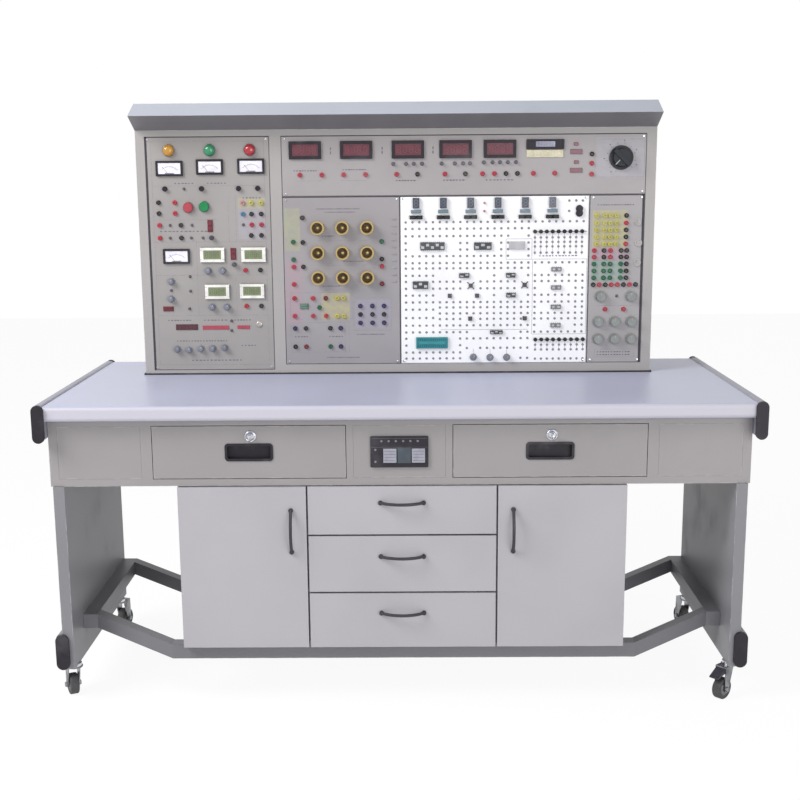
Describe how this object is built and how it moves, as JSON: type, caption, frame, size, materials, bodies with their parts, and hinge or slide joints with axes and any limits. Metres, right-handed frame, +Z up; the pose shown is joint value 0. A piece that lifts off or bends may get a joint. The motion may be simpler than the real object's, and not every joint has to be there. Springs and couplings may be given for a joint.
{
  "type": "digital logic trainer",
  "caption": "Mobile electronics training bench: worktop on wheeled side legs, desk drawers, a hanging cabinet and an upright console of meters, sockets and logic board.",
  "frame": {"origin": "on the floor under the middle of the bench's overall box", "axes": "+X to the user's right along the bench's length, +Y to the back, +Z up"},
  "size_m": [1.6, 0.716, 1.363],
  "materials": {
    "worktop": "satin laminate",
    "end_rails": "satin anodised",
    "end_rail_caps": "moulded, matt",
    "drawer_case": "fine-textured powder coat",
    "case_panels": "fine-textured powder coat",
    "keypad_module": "moulded, matt",
    "leg_left": "powder coat",
    "leg_right": "powder coat",
    "foot_rails": "satin anodised",
    "foot_rail_caps": "moulded, matt",
    "base_frame": "powder coat",
    "cabinet": "laminated board, satin",
    "desk_runners": "zinc plated",
    "cabinet_runners": "zinc plated",
    "console_case": "fine-textured powder coat",
    "console_frame": "fine-textured powder coat",
    "console_hood": "powder coat",
    "power_panel": "printed, semi-gloss",
    "meter_panel": "printed, semi-gloss",
    "circuit_panel": "printed, semi-gloss",
    "logic_board": "printed, semi-gloss",
    "terminal_panel": "printed, semi-gloss",
    "digital_meters": "moulded, semi-gloss",
    "analog_meters": "moulded, semi-gloss",
    "signal_lamps": "polished",
    "lamp_sockets": "rolled, slightly dulled",
    "jacks": "moulded, semi-gloss",
    "board_parts": "moulded, semi-gloss",
    "fixed_controls": "moulded, matt",
    "desk_drawer_left": "fine-textured powder coat",
    "desk_drawer_right": "fine-textured powder coat",
    "pull_left": "moulded, matt",
    "pull_right": "moulded, matt",
    "lock_left": "polished",
    "lock_right": "polished",
    "cabinet_drawer_top": "laminated board, satin",
    "cabinet_drawer_middle": "laminated board, satin",
    "cabinet_drawer_bottom": "laminated board, satin",
    "door_left": "laminated board, satin",
    "door_right": "laminated board, satin",
    "selector_knob": "moulded, semi-gloss",
    "start_button": "moulded, glossy",
    "stop_button": "moulded, glossy",
    "pot_knob_1": "moulded, matt",
    "pot_knob_2": "moulded, matt",
    "pot_knob_3": "moulded, matt",
    "pot_knob_4": "moulded, matt",
    "pot_knob_5": "moulded, matt",
    "pot_knob_6": "moulded, matt",
    "pot_knob_7": "moulded, matt",
    "pot_knob_8": "moulded, matt",
    "caster_mounts": "zinc plated",
    "fork_front_left": "zinc plated",
    "fork_front_right": "zinc plated",
    "fork_rear_left": "zinc plated",
    "fork_rear_right": "zinc plated",
    "wheel_front_left": "moulded, matt",
    "wheel_front_right": "moulded, matt",
    "wheel_rear_left": "moulded, matt",
    "wheel_rear_right": "moulded, matt"
  },
  "bodies": {
    "bench": {"worktop": "worktop", "end_rails": "end_rails", "end_rail_caps": "end_rail_caps", "drawer_case": "drawer_case", "case_panels": "case_panels", "keypad_module": "keypad_module", "leg_left": "leg_left", "leg_right": "leg_right", "foot_rails": "foot_rails", "foot_rail_caps": "foot_rail_caps", "base_frame": "base_frame", "cabinet": "cabinet", "desk_runners": "desk_runners", "cabinet_runners": "cabinet_runners", "console_case": "console_case", "console_frame": "console_frame", "console_hood": "console_hood", "power_panel": "power_panel", "meter_panel": "meter_panel", "circuit_panel": "circuit_panel", "logic_board": "logic_board", "terminal_panel": "terminal_panel", "digital_meters": "digital_meters", "analog_meters": "analog_meters", "signal_lamps": "signal_lamps", "lamp_sockets": "lamp_sockets", "jacks": "jacks", "board_parts": "board_parts", "fixed_controls": "fixed_controls", "caster_mounts": "caster_mounts"},
    "desk_drawer_left": {"desk_drawer_left": "desk_drawer_left", "pull_left": "pull_left"},
    "lock_left": {"lock_left": "lock_left"},
    "desk_drawer_right": {"desk_drawer_right": "desk_drawer_right", "pull_right": "pull_right"},
    "lock_right": {"lock_right": "lock_right"},
    "cabinet_drawer_top": {"cabinet_drawer_top": "cabinet_drawer_top"},
    "cabinet_drawer_middle": {"cabinet_drawer_middle": "cabinet_drawer_middle"},
    "cabinet_drawer_bottom": {"cabinet_drawer_bottom": "cabinet_drawer_bottom"},
    "door_left": {"door_left": "door_left"},
    "door_right": {"door_right": "door_right"},
    "selector_knob": {"selector_knob": "selector_knob"},
    "stop_button": {"stop_button": "stop_button"},
    "start_button": {"start_button": "start_button"},
    "pot_knob_1": {"pot_knob_1": "pot_knob_1"},
    "pot_knob_2": {"pot_knob_2": "pot_knob_2"},
    "pot_knob_3": {"pot_knob_3": "pot_knob_3"},
    "pot_knob_4": {"pot_knob_4": "pot_knob_4"},
    "pot_knob_5": {"pot_knob_5": "pot_knob_5"},
    "pot_knob_6": {"pot_knob_6": "pot_knob_6"},
    "pot_knob_7": {"pot_knob_7": "pot_knob_7"},
    "pot_knob_8": {"pot_knob_8": "pot_knob_8"},
    "fork_front_left": {"fork_front_left": "fork_front_left"},
    "wheel_front_left": {"wheel_front_left": "wheel_front_left"},
    "fork_front_right": {"fork_front_right": "fork_front_right"},
    "wheel_front_right": {"wheel_front_right": "wheel_front_right"},
    "fork_rear_left": {"fork_rear_left": "fork_rear_left"},
    "wheel_rear_left": {"wheel_rear_left": "wheel_rear_left"},
    "fork_rear_right": {"fork_rear_right": "fork_rear_right"},
    "wheel_rear_right": {"wheel_rear_right": "wheel_rear_right"}
  },
  "joints": [
    {"name": "desk_drawer_left_slide", "type": "slide", "parent": "bench", "child": "desk_drawer_left", "axis": [0, -1, 0], "range_m": [0, 0.34]},
    {"name": "lock_left_turn", "type": "hinge", "parent": "desk_drawer_left", "child": "lock_left", "pos_m": [-0.329, -0.317, 0.627], "axis": [0, -1, 0], "range_deg": [0, 90]},
    {"name": "desk_drawer_right_slide", "type": "slide", "parent": "bench", "child": "desk_drawer_right", "axis": [0, -1, 0], "range_m": [0, 0.34]},
    {"name": "lock_right_turn", "type": "hinge", "parent": "desk_drawer_right", "child": "lock_right", "pos_m": [0.337, -0.317, 0.627], "axis": [0, -1, 0], "range_deg": [0, 90]},
    {"name": "cabinet_drawer_top_slide", "type": "slide", "parent": "bench", "child": "cabinet_drawer_top", "axis": [0, -1, 0], "range_m": [0, 0.34]},
    {"name": "cabinet_drawer_middle_slide", "type": "slide", "parent": "bench", "child": "cabinet_drawer_middle", "axis": [0, -1, 0], "range_m": [0, 0.34]},
    {"name": "cabinet_drawer_bottom_slide", "type": "slide", "parent": "bench", "child": "cabinet_drawer_bottom", "axis": [0, -1, 0], "range_m": [0, 0.34]},
    {"name": "door_left_hinge", "type": "hinge", "parent": "bench", "child": "door_left", "pos_m": [-0.495, -0.305, 0.325], "axis": [0, 0, -1], "range_deg": [0, 105]},
    {"name": "door_right_hinge", "type": "hinge", "parent": "bench", "child": "door_right", "pos_m": [0.505, -0.305, 0.325], "axis": [0, 0, 1], "range_deg": [0, 105]},
    {"name": "selector_turn", "type": "hinge", "parent": "bench", "child": "selector_knob", "pos_m": [0.541, 0.116, 1.227], "axis": [0, -1, 0], "range_deg": [-20, 270]},
    {"name": "stop_button_press", "type": "slide", "parent": "bench", "child": "stop_button", "axis": [0, 1, 0], "range_m": [0, 0.003], "stiffness_N_per_m": 400, "springref_m": -0.002},
    {"name": "start_button_press", "type": "slide", "parent": "bench", "child": "start_button", "axis": [0, 1, 0], "range_m": [0, 0.003], "stiffness_N_per_m": 400, "springref_m": -0.002},
    {"name": "pot_knob_1_turn", "type": "hinge", "parent": "bench", "child": "pot_knob_1", "pos_m": [0.499, 0.116, 0.89], "axis": [0, -1, 0], "range_deg": [-150, 150]},
    {"name": "pot_knob_2_turn", "type": "hinge", "parent": "bench", "child": "pot_knob_2", "pos_m": [0.574, 0.116, 0.89], "axis": [0, -1, 0], "range_deg": [-150, 150]},
    {"name": "pot_knob_3_turn", "type": "hinge", "parent": "bench", "child": "pot_knob_3", "pos_m": [0.495, 0.116, 0.827], "axis": [0, -1, 0], "range_deg": [-150, 150]},
    {"name": "pot_knob_4_turn", "type": "hinge", "parent": "bench", "child": "pot_knob_4", "pos_m": [0.536, 0.116, 0.827], "axis": [0, -1, 0], "range_deg": [-150, 150]},
    {"name": "pot_knob_5_turn", "type": "hinge", "parent": "bench", "child": "pot_knob_5", "pos_m": [0.577, 0.116, 0.827], "axis": [0, -1, 0], "range_deg": [-150, 150]},
    {"name": "pot_knob_6_turn", "type": "hinge", "parent": "bench", "child": "pot_knob_6", "pos_m": [0.495, 0.116, 0.784], "axis": [0, -1, 0], "range_deg": [-150, 150]},
    {"name": "pot_knob_7_turn", "type": "hinge", "parent": "bench", "child": "pot_knob_7", "pos_m": [0.536, 0.116, 0.784], "axis": [0, -1, 0], "range_deg": [-150, 150]},
    {"name": "pot_knob_8_turn", "type": "hinge", "parent": "bench", "child": "pot_knob_8", "pos_m": [0.577, 0.116, 0.784], "axis": [0, -1, 0], "range_deg": [-150, 150]},
    {"name": "swivel_front_left", "type": "hinge", "parent": "bench", "child": "fork_front_left", "pos_m": [-0.7595, -0.28, 0.078], "axis": [0, 0, 1], "continuous": true},
    {"name": "roll_front_left", "type": "hinge", "parent": "fork_front_left", "child": "wheel_front_left", "pos_m": [-0.77218, -0.25616, 0.025], "axis": [-0.8829, -0.4695, 0], "continuous": true},
    {"name": "swivel_front_right", "type": "hinge", "parent": "bench", "child": "fork_front_right", "pos_m": [0.7595, -0.28, 0.078], "axis": [0, 0, 1], "continuous": true},
    {"name": "roll_front_right", "type": "hinge", "parent": "fork_front_right", "child": "wheel_front_right", "pos_m": [0.73944, -0.29807, 0.025], "axis": [0.6691, -0.7431, 0], "continuous": true},
    {"name": "swivel_rear_left", "type": "hinge", "parent": "bench", "child": "fork_rear_left", "pos_m": [-0.7595, 0.181, 0.078], "axis": [0, 0, 1], "continuous": true},
    {"name": "roll_rear_left", "type": "hinge", "parent": "fork_rear_left", "child": "wheel_rear_left", "pos_m": [-0.75027, 0.20637, 0.025], "axis": [-0.9397, 0.342, 0], "continuous": true},
    {"name": "swivel_rear_right", "type": "hinge", "parent": "bench", "child": "fork_rear_right", "pos_m": [0.7595, 0.181, 0.078], "axis": [0, 0, 1], "continuous": true},
    {"name": "roll_rear_right", "type": "hinge", "parent": "fork_rear_right", "child": "wheel_rear_right", "pos_m": [0.75027, 0.20637, 0.025], "axis": [-0.9397, -0.342, 0], "continuous": true}
  ]
}
